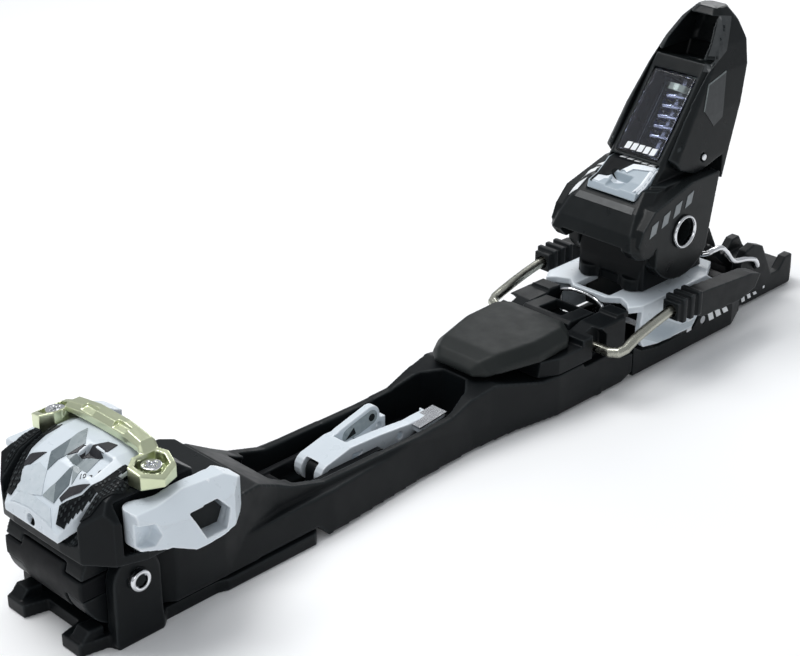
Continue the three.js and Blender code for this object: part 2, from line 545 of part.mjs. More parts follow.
function lengthScrew() {
  const shank = rodY(92, 175, 0, SCREW_Z, 2.4, 14);
  const head = rodY(174.5, 179, 0, SCREW_Z, 4, 20);
  return cut(join(shank, head), box(-3, 3, 177, 185, SCREW_Z - 0.6, SCREW_Z + 0.6));
}

// ---------- heel piece ----------
const PLATE_UNDER = SOLE_Z - PLATE.thick - GAP;

function heelCarriage() {
  const base = slabX([[102, SOLE_Z + GAP], [149, SOLE_Z + GAP], [148, 44], [141, 50], [133, 47.5],
    [102, 44]], -20.4, 20.4);
  const apron = slabX([[101.4, SOLE_Z + GAP], [112, SOLE_Z + GAP], [112, 64], [104.6, 64], [103.4, 60],
    [101.2, 52]], -20.4, 20.4);
  const toes = both(rodZ(SOLE_Z + GAP, 45, 13, 102.5, 5.6, 20));
  const upright = both(slabX([[104, 40], [141, 40], [141, 52], ...arc(RING.y, RING.z, 11.5, 0, 180, 10),
    [104, 60]], 12.5, 20.4));
  const neck = box(-9.9, 9.9, 104, 138, 33, SOLE_Z + 2);
  const foot = box(-17, 17, 104, 138, 21, PLATE_UNDER);
  const cheekRoom = both(rodX(20.6, 40, RING.y, RING.z, 26.6, 40));
  return cut(join(base, apron, toes, upright, neck, foot), rodX(-40, 40, RING.y, RING.z, 7.1, 28),
    rodY(80, 160, 0, SCREW_Z, 2.75, 16), cheekRoom);
}

function heelAxle() {
  return cut(rodX(-26.8, 26.8, RING.y, RING.z, 6.9, 28), rodX(-40, 40, RING.y, RING.z, 5, 24));
}

function heelRing(side) {
  const flange = rodX(side * 28, side * 29.6, RING.y, RING.z, RING.r, 32);
  const sleeve = rodX(side * 27.2, side * 28.4, RING.y, RING.z, 6.6, 28);
  return cut(join(flange, sleeve), rodX(-40, 40, RING.y, RING.z, 6.2, 28));
}

function heelHousing() {
  const cheeks = both(slabX([[87, 69], [90.5, 61.5], [96, 60.5], [101, 64.5],
    ...arc(RING.y, RING.z, 24.6, 215, 325, 12), [149, 91.6], [127, 91.6], [98, 84], [90, 76]],
    20.9, 27.6));
  const visor = loft([ringZ(61, 27.2, 89, 101, 2), ringZ(66, 27.4, 84, 103, 3), ringZ(73, 26.2, 86.2, 106, 4),
    ringZ(82, 24, 93, 112, 4.5), ringZ(90, 21, 103, 124, 4.5)]);
  const throat = slabX([[80, 50], [80, 62.5], [89, 71.5], [104, 74], [112, 74], [112, 50]], -19, 19);
  const crown = loft([ringZ(74, 21.5, 101, 146, 4), ringZ(91.4, 21.5, 108, 151, 5)]);
  const tower = loft([ringZ(91, 16.6, 109, 152, 2), ringZ(118, 16.6, 130.5, 165, 2),
    ringZ(144, 16.2, 149, 176, 2)]);
  const carriageRoom = slabX([[100.5, 30], [147, 30], ...arc(RING.y, RING.z, 25.4, -50, 30, 8),
    ...arc(RING.y, RING.z, 12.4, 75, 180, 7), [103, 66]], -20.7, 20.7);
  const slopedTop = slabX([[140, 145.6], [149, 143], [180, 135.2], [180, 150], [140, 150]], -40, 40);
  return cut(join(cheeks, cut(visor, throat), crown, tower), carriageRoom, slopedTop,
    rod(alongBarrel(8), alongBarrel(52), BARREL.r, 28), rod(alongBarrel(50), alongBarrel(80), 4.2, 20),
    windowPocket(-6, 14), cradleSeat(), rodX(-40, 40, RING.y, RING.z, 7.1, 28),
    both(rodX(27.9, 40, RING.y, RING.z, RING.r + 0.4, 32)), rodX(-40, 40, LEVER_PIN.y, LEVER_PIN.z, 2.2, 14));
}

// Point on the release spring's axis, so many millimetres up from its foot.
function alongBarrel(distance) {
  const { y, z, lean } = BARREL;
  return [0, y + distance * Math.sin(lean), z + distance * Math.cos(lean)];
}

// Slot in the tower's face that the window closes, between two depths below the face.
function windowPocket(from, to) {
  const { y0, z0, y1, z1, half } = WINDOW;
  const length = Math.hypot(y1 - y0, z1 - z0);
  const inward = [(z1 - z0) / length, -(y1 - y0) / length];
  const corner = (y, z, depth) => [y + inward[0] * depth, z + inward[1] * depth];
  return slabX([corner(y0, z0, from), corner(y0, z0, to), corner(y1, z1, to), corner(y1, z1, from)],
    -half, half);
}

function heelWindow() {
  const frame = windowPocket(0.4, 2.6);
  return frame.intersect(box(-WINDOW.half + 0.4, WINDOW.half - 0.4, 60, 200,
    WINDOW.z0 - 0.6, WINDOW.z1 - 1.4));
}

const cradleSeat = () => slabX([[92, 84.5], [116, 87.5], [121, 99], [102, 99.6], [90, 92]], -15, 15);

// Light insert below the window that the release spring pushes against.
function heelCradle() {
  const block = slabX([[97.5, 85.6], [115.4, 87.9], [120, 98.4], [113.5, 97.6], [105, 91.6], [98.6, 89.6]],
    -14.6, 14.6);
  const notch = slabY([[-7, 94], [-4, 88.8], [4, 88.8], [9, 101], [-9, 101]], 90, 108);
  return cut(block, notch);
}

function heelDinScrew() {
  const shank = rod(alongBarrel(12), alongBarrel(56), 2, 14);
  const head = rod(alongBarrel(55.5), alongBarrel(59), 3.8, 20);
  const slot = box(-3, 3, 120, 200, 0, 0.9).translate([0, 0, alongBarrel(58)[2]]);
  return cut(join(head, shank), slot);
}

const heelIndicator = () => cut(rod(alongBarrel(44.5), alongBarrel(48), 8.6, 20),
  rod(alongBarrel(30), alongBarrel(60), 2.35, 14));

function heelLever() {
  const rings = [[84, 22, 150, 163, 4], [98, 22, 116, 166, 3], [120, 20.6, 130.4, 175, 3],
    [138, 18.6, 144, 181, 3], [150, 16.2, 152.4, 183, 4], [159, 12.8, 159, 181, 5],
    [165.6, 7, 166, 176.5, 3]];
  const outer = loft(rings.map((row) => ringZ(...row)));
  const inner = loft([ringZ(70, 17.1, 60, 157, 1), ringZ(91, 17.1, 70, 157, 1),
    ringZ(118, 17.1, 90, 169.5, 1),
    ringZ(145, 16.7, 100, 178, 1)]);
  const scoop = loft([ringZ(139, 12.6, 130, 172.5, 2), ringZ(150, 12.2, 134, 175.5, 2),
    ringZ(162.4, 8, 146, 176, 2)]);
  const lowFront = slabX([[100, 60], [133, 60], [134, 92.6], [124, 96.5], [114, 108], [100, 108]], -40, 40);
  const pinBore = rodX(-40, 40, LEVER_PIN.y, LEVER_PIN.z, 2.2, 14);
  return cut(outer, inner, scoop, lowFront, pinBore, slabX([[100, 70], [158, 70], [158, 96.4], [142, 92.4],
    [133, 92.4], [100, 80]], -40, 40));
}

// ---------- climbing aid ----------
// Low step: a serrated tongue on two trunnions, lying forward over the length screw.
function climbLever() {
  const { y, z } = CLIMB;
  const teeth = [];
  for (let i = 0; i < 6; i += 1) {
    teeth.push([y - 2.5 - 4.2 * i, z + 7 + 2.8 * i], [y - 4.1 - 4.2 * i, z + 9.8 + 2.8 * i]);
  }
  const tongue = slabX([[y - 3.6, z - 1.6], [y, z - 3.8], [y + 3.6, z - 1.6], [y + 3.4, z + 4], ...teeth,
    [y - 27.6, z + 24], [y - 30, z + 21], [y - 27, z + 18.6], [y - 16, z + 12.6], [y - 6, z + 4]], -8, 8);
  return join(tongue, rodX(-17, 17, y, z, 2.4, 16));
}

function climbBail() {
  const { y, z, x, wire: r } = BAIL;
  const arm = [[14, y, z], [19.5, y, z], [x, y - 1, z + 1.2], [x, y - 4, z + 5.2], [x, y - 12, z + 8.2],
    [x, y - 24, z + 11], [x, y - 30, z + 17], [x, y - 36, z + 21.8], [x, y - 44, z + 22.6],
    [x - 1, y - 47.6, z + 21.6], [x - 6, y - 48.4, z + 21.2]];
  const other = arm.map(([px, py, pz]) => [-px, py, pz]);
  return wire([...other, [0, y - 48.4, z + 21.2], ...arm.slice().reverse()], r, 60, 8);
}

// ---------- assembly ----------
add('front_base', frontBase(), BLACK);
FRONT_HOLES.forEach(([x, y], i) => {
  add(`front_screw_${i + 1}`, mountingScrew(x, y, BASE_THICK - 0.3, 0.3), STEEL);
});
add('pivot_axle', pivotAxle(), STEEL);
add('axle_screw_left', axleScrew(1), STEEL);
add('axle_screw_right', axleScrew(-1), STEEL);
add('rear_base', rearBase(), BLACK);
REAR_HOLES.forEach(([x, y], i) => add(`rear_screw_${i + 1}`, mountingScrew(x, y, 5.7, 0.3), STEEL));
add('rear_catch', rearCatch(), STEEL);
add('pivot_carriage', pivotCarriage(), DARK);
add('frame_tub', frameTub(), BLACK);
add('lever_pin', rodX(-8.3, 8.3, LEVER.y, LEVER.z, 2.25, 16), STEEL);
add('mode_lever', modeLever(), WHITE);
add('toggle_link', toggleLink(), DARK);
add('link_pin', rodX(-12, 12, LEVER.y + LEVER.reach, LEVER.z, 2.1, 16), STEEL);
add('toe_housing', toeHousing(), BLACK);
add('toe_cover', toeCover(), WHITE);
add('toe_bracket', toeBracket(), CHAMPAGNE);
add('bracket_screw_left', bracketScrew(1), STEEL);
add('bracket_screw_right', bracketScrew(-1), STEEL);
add('toe_wing_left', toeWing(), WHITE);
add('toe_wing_right', mirrored(toeWing()), WHITE);
add('wing_pin_left', wingPin(1), STEEL);
add('wing_pin_right', wingPin(-1), STEEL);
add('toe_spring', coilSpring([0, -217, TOE_SPRING_Z], [0, -191, TOE_SPRING_Z], 6.6, 1.2, 6), STEEL);
add('toe_din_screw', toeDinScrew(), STEEL);
add('toe_indicator', toeIndicator(), CHAMPAGNE);
add('afd_base', afdBase(), BLACK);
add('afd_plate', afdPlate(), DARK);
add('brake_housing', brakeHousing(), BLACK);
add('heel_pad', heelPad(), BLACK);
add('brake_wire', brakeWire(), STEEL);
add('brake_tip_left', brakeTip(), BLACK);
add('brake_tip_right', mirrored(brakeTip()), BLACK);
add('brake_pedal', brakePedal(), BLACK);
add('brake_spring', brakeSpring(), STEEL);
add('heel_plate', heelPlate(), WHITE);
add('frame_tail', frameTail(), BLACK);
add('lock_bar', lockBar(), STEEL);
add('length_screw', lengthScrew(), STEEL);
add('heel_carriage', heelCarriage(), BLACK);
add('heel_axle', heelAxle(), STEEL);
add('heel_ring_left', heelRing(1), STEEL);
add('heel_ring_right', heelRing(-1), STEEL);
add('heel_housing', heelHousing(), BLACK);
add('heel_lever', heelLever(), BLACK);
add('lever_hinge_pin_left', rodX(11.5, 22.7, LEVER_PIN.y, LEVER_PIN.z, 1.8, 14), STEEL);
add('lever_hinge_pin_right', rodX(-22.7, -11.5, LEVER_PIN.y, LEVER_PIN.z, 1.8, 14), STEEL);
add('heel_window', heelWindow(), CLEAR);
add('heel_cradle', heelCradle(), WHITE);
add('heel_spring', coilSpring(alongBarrel(16), alongBarrel(43), 7, 1.3, 5), STEEL);
add('heel_din_screw', heelDinScrew(), STEEL);
add('heel_indicator', heelIndicator(), CHAMPAGNE);
add('climb_lever', climbLever(), DARK);
add('climb_bail', climbBail(), STEEL);

export default binding;
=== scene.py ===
import json
import math

import bmesh
import bpy
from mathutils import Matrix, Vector
from mathutils.bvhtree import BVHTree


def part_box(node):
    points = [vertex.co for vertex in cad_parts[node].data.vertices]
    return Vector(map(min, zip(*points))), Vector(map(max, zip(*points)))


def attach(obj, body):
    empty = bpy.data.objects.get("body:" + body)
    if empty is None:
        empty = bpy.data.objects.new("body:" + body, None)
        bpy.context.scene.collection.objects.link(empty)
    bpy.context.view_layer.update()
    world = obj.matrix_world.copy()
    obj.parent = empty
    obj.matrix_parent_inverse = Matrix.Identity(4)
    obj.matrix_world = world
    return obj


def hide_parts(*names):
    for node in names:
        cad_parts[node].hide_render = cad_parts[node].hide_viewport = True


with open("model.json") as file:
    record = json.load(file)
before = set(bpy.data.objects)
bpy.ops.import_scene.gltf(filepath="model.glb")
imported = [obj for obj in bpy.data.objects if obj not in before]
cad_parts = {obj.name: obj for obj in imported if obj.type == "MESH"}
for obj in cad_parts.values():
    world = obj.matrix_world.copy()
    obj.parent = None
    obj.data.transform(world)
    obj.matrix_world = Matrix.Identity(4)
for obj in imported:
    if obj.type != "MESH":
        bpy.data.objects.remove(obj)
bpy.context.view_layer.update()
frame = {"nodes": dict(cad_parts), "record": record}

# Touring binding. Simple and hidden nodes of the frame keep their shape and get a finish. Every other
# node is copied, cut or built up, rounded as moulding or tumbling rounds it, and stands for its node.
# Prints, inlays and facets of painted shade and painted sheen are thin solids laid on those surfaces.
# Lengths are millimetres, turned to metres by MM where a mesh is made. +X is the skier's left, -Y points
# to the toe and +Z is up from the ski.
MM = 0.001
BODY_OF = {node: body for body, nodes in frame["record"]["behaviour"]["bodies"].items() for node in nodes}
SIDES = ((1, "left"), (-1, "right"))


def box_mm(node):
    """Lowest and highest corner of a CAD node, in millimetres."""
    low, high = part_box(node)
    return low / MM, high / MM


def round_end(node, side):
    """Outer face, axis (y, z) and radius of a round CAD node that lies along X."""
    low, high = box_mm(node)
    face = high.x if side > 0 else low.x
    return face, ((low.y + high.y) / 2, (low.z + high.z) / 2), (high.y - low.y) / 2


# ---------- camera and studio ----------
AZIMUTH, ELEVATION = 45, 26  # degrees round from the front, and above level
CAMERA_DISTANCE = 0.9292  # metres, as the target is
CAMERA_TARGET = (-0.0918, 0.0454, 0.0)
LENS, SENSOR = 80.37, 36.0


def place_camera():
    azimuth, elevation = math.radians(AZIMUTH), math.radians(ELEVATION)
    away = Vector((math.sin(azimuth) * math.cos(elevation), -math.cos(azimuth) * math.cos(elevation),
                   math.sin(elevation)))
    data = bpy.data.cameras.new("camera")
    data.sensor_width = SENSOR
    data.lens = LENS
    data.clip_end = 20.0
    camera = bpy.data.objects.new("camera", data)
    camera.location = Vector(CAMERA_TARGET) + away * CAMERA_DISTANCE
    camera.rotation_euler = (-away).to_track_quat("-Z", "Y").to_euler()
    bpy.context.scene.collection.objects.link(camera)
    bpy.context.scene.camera = camera


def soft_light(name, position, aim, size, power):
    """A rectangular lamp: position, aim and size in metres, power in watts."""
    data = bpy.data.lights.new(name, "AREA")
    data.shape = "RECTANGLE"
    data.size, data.size_y = size
    data.energy = power
    lamp = bpy.data.objects.new(name, data)
    lamp.location = position
    lamp.rotation_euler = (Vector(aim) - Vector(position)).to_track_quat("-Z", "Y").to_euler()
    bpy.context.scene.collection.objects.link(lamp)


def studio():
    """Even pale surroundings, three soft lamps and a pale floor just below the base plates."""
    world = bpy.data.worlds.new("studio")
    world.use_nodes = True
    world.node_tree.nodes["Background"].inputs["Color"].default_value = (0.93, 0.96, 1.0, 1.0)
    world.node_tree.nodes["Background"].inputs["Strength"].default_value = 0.50
    bpy.context.scene.world = world
    soft_light("key", (-0.35, -0.25, 1.15), aim=(0, 0, 0.03), size=(0.7, 0.7), power=10)
    soft_light("fill", (0.9, -0.9, 0.55), aim=(0, 0, 0.05), size=(0.6, 0.5), power=1.6)
    soft_light("rim", (-0.5, 0.95, 0.7), aim=(0, 0.05, 0.05), size=(0.6, 0.35), power=3)
    bm = bmesh.new()
    bmesh.ops.create_grid(bm, x_segments=1, y_segments=1, size=6.0)
    floor = object_of("floor", bm)
    floor.location.z = -0.0002
    floor.data.materials.append(floor_material())
    bpy.context.scene.view_settings.view_transform = "Standard"


# ---------- materials ----------
# Noise scales, in features per metre: colour drift, gloss, moulded grain and brushed streaks.
DRIFT_SCALE, GLOSS_SCALE, GRAIN_SCALE = 38.0, 160.0, 2600.0
TARNISH_SCALE, STREAK_SCALE = 55.0, 900.0
ALONG_Y = (1, 0.15, 1)  # streaks drawn out along Y
HIGHLIGHT_EDGE_START, HIGHLIGHT_EDGE_FULL = 0.505, 0.56  # how pointed an edge is where the painted edge highlight begins, and where it is full


def new_material(name):
    material = bpy.data.materials.new(name)
    material.use_nodes = True
    return material, material.node_tree, material.node_tree.nodes["Principled BSDF"]


def noise(tree, scale, detail=3.0):
    """Noise fixed to the object, so that it moves with its piece."""
    node = tree.nodes.new("ShaderNodeTexNoise")
    node.inputs["Scale"].default_value = scale
    node.inputs["Detail"].default_value = detail
    place = tree.nodes.new("ShaderNodeTexCoord")
    tree.links.new(place.outputs["Object"], node.inputs["Vector"])
    return node.outputs["Fac"]


def ranged(tree, source, low, high, start=0.3, end=0.7):
    """Stretch start to end of a source over low to high."""
    node = tree.nodes.new("ShaderNodeMapRange")
    node.inputs["From Min"].default_value = start
    node.inputs["From Max"].default_value = end
    node.inputs["To Min"].default_value = low
    node.inputs["To Max"].default_value = high
    tree.links.new(source, node.inputs["Value"])
    return node.outputs["Result"]


def mixed(tree, factor, first, second):
    """Blend two colours, each an RGB tuple or the output of another node."""
    node = tree.nodes.new("ShaderNodeMix")
    node.data_type = "RGBA"
    tree.links.new(factor, node.inputs["Factor"])
    for socket, value in ((node.inputs["A"], first), (node.inputs["B"], second)):
        if isinstance(value, tuple):
            socket.default_value = (*value, 1.0)
        else:
            tree.links.new(value, socket)
    return node.outputs["Result"]


def bumped(tree, shader, source, strength, depth):
    """Fine relief, depth in millimetres."""
    node = tree.nodes.new("ShaderNodeBump")
    node.inputs["Strength"].default_value = strength
    node.inputs["Distance"].default_value = depth * MM
    tree.links.new(source, node.inputs["Height"])
    tree.links.new(node.outputs["Normal"], shader.inputs["Normal"])


def edge_mask(tree, start, end):
    """1 on outward edges, 0 on flat faces and in corners."""
    node = tree.nodes.new("ShaderNodeNewGeometry")
    return ranged(tree, node.outputs["Pointiness"], 0.0, 1.0, start, end)


def plastic(name, colour, shade, edge, rough, grain, coat=0.0, specular=0.5):
    """Moulded plastic: slow colour drift, a painted highlight on outward edges, uneven gloss and a fine
    spark-eroded grain.

    The colour drifts to the shade, and edge is the lighter colour painted on outward edges as a highlight.
    """
    material, tree, shader = new_material(name)
    drift = mixed(tree, ranged(tree, noise(tree, DRIFT_SCALE), 0.0, 1.0), colour, shade)
    # Painted highlight: outward edges are lightened towards the edge colour.
    edge_highlight_mask = edge_mask(tree, HIGHLIGHT_EDGE_START, HIGHLIGHT_EDGE_FULL)
    tree.links.new(mixed(tree, edge_highlight_mask, drift, edge), shader.inputs["Base Color"])
    tree.links.new(ranged(tree, noise(tree, GLOSS_SCALE), *rough), shader.inputs["Roughness"])
    shader.inputs["Specular IOR Level"].default_value = specular
    shader.inputs["Coat Weight"].default_value = coat
    shader.inputs["Coat Roughness"].default_value = 0.12
    bumped(tree, shader, noise(tree, GRAIN_SCALE, 2.0), grain, 0.05)
    return material


def metal(name, colour, shade, rough, grain, stretch=(1, 1, 1)):
    """Bare or plated metal with slow tarnish and fine streaks, which stretch draws out."""
    material, tree, shader = new_material(name)
    place = tree.nodes.new("ShaderNodeTexCoord")
    mapping = tree.nodes.new("ShaderNodeMapping")
    mapping.inputs["Scale"].default_value = stretch
    tree.links.new(place.outputs["Object"], mapping.inputs["Vector"])
    streak = tree.nodes.new("ShaderNodeTexNoise")
    streak.inputs["Scale"].default_value = STREAK_SCALE
    tree.links.new(mapping.outputs["Vector"], streak.inputs["Vector"])
    tarnish = ranged(tree, noise(tree, TARNISH_SCALE), 0.0, 1.0)
    tree.links.new(mixed(tree, tarnish, colour, shade), shader.inputs["Base Color"])
    shader.inputs["Metallic"].default_value = 1.0
    tree.links.new(ranged(tree, streak.outputs["Fac"], *rough), shader.inputs["Roughness"])
    bumped(tree, shader, streak.outputs["Fac"], grain, 0.02)
    return material


def clear_material():
    """Slightly blue clear plastic of the scale window."""
    material, tree, shader = new_material("clear_window")
    shader.inputs["Transmission Weight"].default_value = 1.0
    shader.inputs["Base Color"].default_value = (0.80, 0.84, 1.0, 1.0)
    shader.inputs["IOR"].default_value = 1.49
    tree.links.new(ranged(tree, noise(tree, 90.0), 0.02, 0.07), shader.inputs["Roughness"])
    return material


def ink(name, colour, shade, rough):
    """Printed or lacquered areas: a slightly patchy film."""
    material, tree, shader = new_material(name)
    patches = ranged(tree, noise(tree, 400.0), 0.0, 1.0)
    tree.links.new(mixed(tree, patches, colour, shade), shader.inputs["Base Color"])
    tree.links.new(ranged(tree, noise(tree, 300.0), rough - 0.05, rough + 0.05), shader.inputs["Roughness"])
    return material


def floor_material():
    material, tree, shader = new_material("pale_floor")
    patches = ranged(tree, noise(tree, 3.0), 0.0, 1.0)
    tree.links.new(mixed(tree, patches, (0.96, 0.965, 0.97), (0.945, 0.95, 0.955)),
                   shader.inputs["Base Color"])
    shader.inputs["Roughness"].default_value = 0.9
    return material


# Each plastic: colour, drifted colour, and the lighter colour of its painted edge highlight.
BLACK = plastic("black_plastic", (0.0042, 0.0054, 0.0064), (0.0066, 0.0082, 0.0092), (0.021, 0.025, 0.027),
                rough=(0.34, 0.46), grain=0.25, specular=0.13)
SATIN = plastic("satin_black_plastic", (0.0050, 0.0064, 0.0070), (0.0080, 0.0098, 0.0106),
                (0.026, 0.031, 0.033), rough=(0.26, 0.38), grain=0.15, specular=0.16)
DEEP = plastic("deep_black_plastic", (0.0025, 0.003, 0.004), (0.004, 0.0048, 0.006), (0.010, 0.012, 0.013),
               rough=(0.42, 0.55), grain=0.30, specular=0.09)
SOFT = plastic("soft_rest_rubber", (0.0090, 0.0115, 0.0112), (0.012, 0.0145, 0.0142), (0.024, 0.028, 0.028),
               rough=(0.44, 0.54), grain=0.40, specular=0.22)
WHITE = plastic("white_plastic", (0.63, 0.69, 0.74), (0.60, 0.66, 0.71), (0.76, 0.80, 0.84),
                rough=(0.26, 0.36), grain=0.10, coat=0.15)
# Painted shade: the light plastic's grey where its faces turn from the light.
SHADED_WHITE = plastic("painted_shade_white_plastic", (0.36, 0.42, 0.47), (0.33, 0.39, 0.44), (0.46, 0.52, 0.56),
                rough=(0.30, 0.40), grain=0.12, coat=0.1)
STEEL = metal("bright_steel", (0.62, 0.63, 0.65), (0.54, 0.55, 0.57), rough=(0.16, 0.28), grain=0.02,
              stretch=ALONG_Y)
CHROME = metal("chrome", (0.72, 0.73, 0.75), (0.66, 0.67, 0.69), rough=(0.07, 0.14), grain=0.0)
BRONZED = metal("brake_wire_steel", (0.44, 0.44, 0.38), (0.37, 0.37, 0.32), rough=(0.22, 0.34), grain=0.04,
                stretch=ALONG_Y)
CHAMPAGNE = metal("champagne_metal", (0.68, 0.72, 0.50), (0.62, 0.67, 0.46), rough=(0.28, 0.36), grain=0.0)
CLEAR = clear_material()
WHITE_INK = ink("white_print", (0.82, 0.84, 0.85), (0.74, 0.76, 0.78), rough=0.4)
GREY_INK = ink("grey_print", (0.23, 0.25, 0.26), (0.19, 0.21, 0.22), rough=0.45)
DARK_INK = ink("dark_print", (0.012, 0.012, 0.016), (0.018, 0.018, 0.022), rough=0.45)
VIOLET = ink("scale_tint", (0.055, 0.062, 0.19), (0.04, 0.046, 0.14), rough=0.2)
# Painted shade for the light plastic: greys for faces turned from the light, darkest to palest.
DARK_SHADE_ON_WHITE = ink("painted_shade_dark_grey", (0.105, 0.135, 0.150), (0.135, 0.165, 0.180), rough=0.3)
MID_SHADE_ON_WHITE = ink("painted_shade_mid_grey", (0.235, 0.275, 0.290), (0.29, 0.33, 0.345), rough=0.3)
PALE_SHADE_ON_WHITE = ink("painted_shade_pale_grey", (0.50, 0.56, 0.60), (0.56, 0.61, 0.65), rough=0.3)
# Painted sheen: a lighter black laid where light catches the dark plastics.
SHEEN = ink("painted_sheen", (0.020, 0.0235, 0.0255), (0.028, 0.032, 0.034), rough=0.42)
# Painted glint: thin light lines where light catches an edge.
GLINT = ink("painted_glint_line", (0.10, 0.12, 0.12), (0.16, 0.185, 0.185), rough=0.3)


# ---------- mesh helpers ----------
def object_of(name, bm):
    """A new object from a bmesh, which is freed."""
    mesh = bpy.data.meshes.new(name)
    bmesh.ops.recalc_face_normals(bm, faces=bm.faces)
    bm.to_mesh(mesh)
    bm.free()
    piece = bpy.data.objects.new(name, mesh)
    bpy.context.scene.collection.objects.link(piece)
    return piece


def shell_of(name, solids):
    """One object holding several closed solids, each given as (vertices in mm, faces)."""
    bm = bmesh.new()
    for vertices, faces in solids:
        made = [bm.verts.new(Vector(v) * MM) for v in vertices]
        for face in faces:
            bm.faces.new([made[i] for i in face])
    return object_of(name, bm)


def side_slab(outline, x0, x1):
    """A flat outline of (y, z) points carried from x0 to x1."""
    count = len(outline)
    vertices = [Vector((x, y, z)) for x in (x0, x1) for y, z in outline]
    faces = [tuple(range(count)), tuple(range(count, 2 * count))]
    faces += [(i, (i + 1) % count, (i + 1) % count + count, i + count) for i in range(count)]
    return vertices, faces


def both_sides(solid):
    """A solid and its mirror image across the binding's middle plane."""
    vertices, faces = solid
    return [solid, ([Vector((-v[0], v[1], v[2])) for v in vertices], faces)]


def arc(cu, cv, radius, start, end, steps):
    """Points on an arc in the outline's own plane, angles in degrees."""
    turns = [math.radians(start + (end - start) * i / steps) for i in range(steps + 1)]
    return [(cu + radius * math.cos(t), cv + radius * math.sin(t)) for t in turns]


def lathe(profile, origin, axis, steps):
    """A closed profile of (radius, height) turned round an axis through origin."""
    up = Vector(axis).normalized()
    side = up.orthogonal().normalized()
    front = up.cross(side)
    vertices, faces = [], []
    for i in range(steps):
        angle = 2 * math.pi * i / steps
        spoke = side * math.cos(angle) + front * math.sin(angle)
        vertices += [Vector(origin) + spoke * r + up * h for r, h in profile]
    count = len(profile)
    for i in range(steps):
        for j in range(count):
            a, b = i * count + j, i * count + (j + 1) % count
            c, d = (b + count) % (steps * count), (a + count) % (steps * count)
            faces.append((a, b, c, d))
    return vertices, faces


def bake(piece):
    """Apply every modifier on the piece."""
    graph = bpy.context.evaluated_depsgraph_get()
    mesh = bpy.data.meshes.new_from_object(piece.evaluated_get(graph), depsgraph=graph)
    piece.modifiers.clear()
    piece.data = mesh


def cut_away(piece, solids):
    """Subtract closed solids from the piece."""
    for solid in solids:
        cutter = shell_of("cutter", [solid])
        modifier = piece.modifiers.new("cut", "BOOLEAN")
        modifier.operation = "DIFFERENCE"
        modifier.solver = "EXACT"
        modifier.object = cutter
        bake(piece)
        bpy.data.objects.remove(cutter)


def rounded(piece, voxel, soft, keep):
    """Round every edge: remesh in voxels of that many mm, smooth soft times, keep a share of the faces."""
    remesh = piece.modifiers.new("remesh", "REMESH")
    remesh.mode = "VOXEL"
    remesh.voxel_size = voxel * MM
    smooth = piece.modifiers.new("smooth", "SMOOTH")
    smooth.factor = 0.5
    smooth.iterations = soft
    lighten = piece.modifiers.new("lighten", "DECIMATE")
    lighten.ratio = keep
    bake(piece)
    piece.data.polygons.foreach_set("use_smooth", [True] * len(piece.data.polygons))


def finished(piece, node, material):
    """Give the piece its material, and put it in the body of a CAD node."""
    piece.data.materials.clear()
    piece.data.materials.append(material)
    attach(piece, BODY_OF[node])
    return piece


def moulded(node, material, voxel, soft, keep, cuts=(), adds=()):
    """The CAD node with fine detail cut in or added and its edges rounded, in place of the node."""
    bm = bmesh.new()
    bm.from_mesh(frame["nodes"][node].data)
    bmesh.ops.remove_doubles(bm, verts=bm.verts, dist=1e-6)
    piece = object_of(node + "_body", bm)
    cut_away(piece, cuts)
    if adds:
        extra = shell_of("extra", adds)
        bm = bmesh.new()
        bm.from_mesh(piece.data)
        bm.from_mesh(extra.data)
        bm.to_mesh(piece.data)
        bm.free()
        bpy.data.objects.remove(extra)
    rounded(piece, voxel, soft, keep)
    finished(piece, node, material)
    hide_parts(node)
    return piece


def turned(node, material, solids):
    """A piece of revolution with crisp edges, made afresh in place of the CAD node."""
    piece = shell_of(node + "_body", solids)
    piece.data.polygons.foreach_set("use_smooth", [True] * len(piece.data.polygons))
    crease = piece.modifiers.new("crease", "EDGE_SPLIT")
    crease.split_angle = math.radians(50)
    bake(piece)
    finished(piece, node, material)
    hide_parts(node)
    return piece


def surface_of(*pieces):
    """Search trees that laid_on drops its outlines onto."""
    graph = bpy.context.evaluated_depsgraph_get()
    return [BVHTree.FromObject(piece, graph) for piece in pieces]


REACH = 60  # how far above its plane an outline starts its drop
FLANK = 60  # how far the planes beside the binding stand from its middle


def above(height):
    """A level plane for outlines of (x, y) points that are laid on from above."""
    return dict(origin=(0, 0, height), u=(1, 0, 0), v=(0, 1, 0))


def grid_cut(bm, start, axis, low, high, cell):
    """Cut the mesh's faces into strips one cell wide along an axis."""
    at = low + cell
    while at < high:
        bmesh.ops.bisect_plane(bm, geom=bm.verts[:] + bm.edges[:] + bm.faces[:], dist=1e-7,
                               plane_co=(start + axis * at) * MM, plane_no=axis)
        at += cell


def drop_onto(bm, surfaces, out, lift):
    """Move each vertex against out to the first surface below it, and delete those that meet none."""
    missed = []
    for vert in bm.verts:
        hits = [tree.ray_cast(vert.co + out * REACH * MM, -out, 2 * REACH * MM)[0] for tree in surfaces]
        hits = [hit for hit in hits if hit is not None]
        if hits:
            vert.co = max(hits, key=lambda hit: hit.dot(out)) + out * lift * MM
        else:
            missed.append(vert)
    bmesh.ops.delete(bm, geom=missed, context="VERTS")


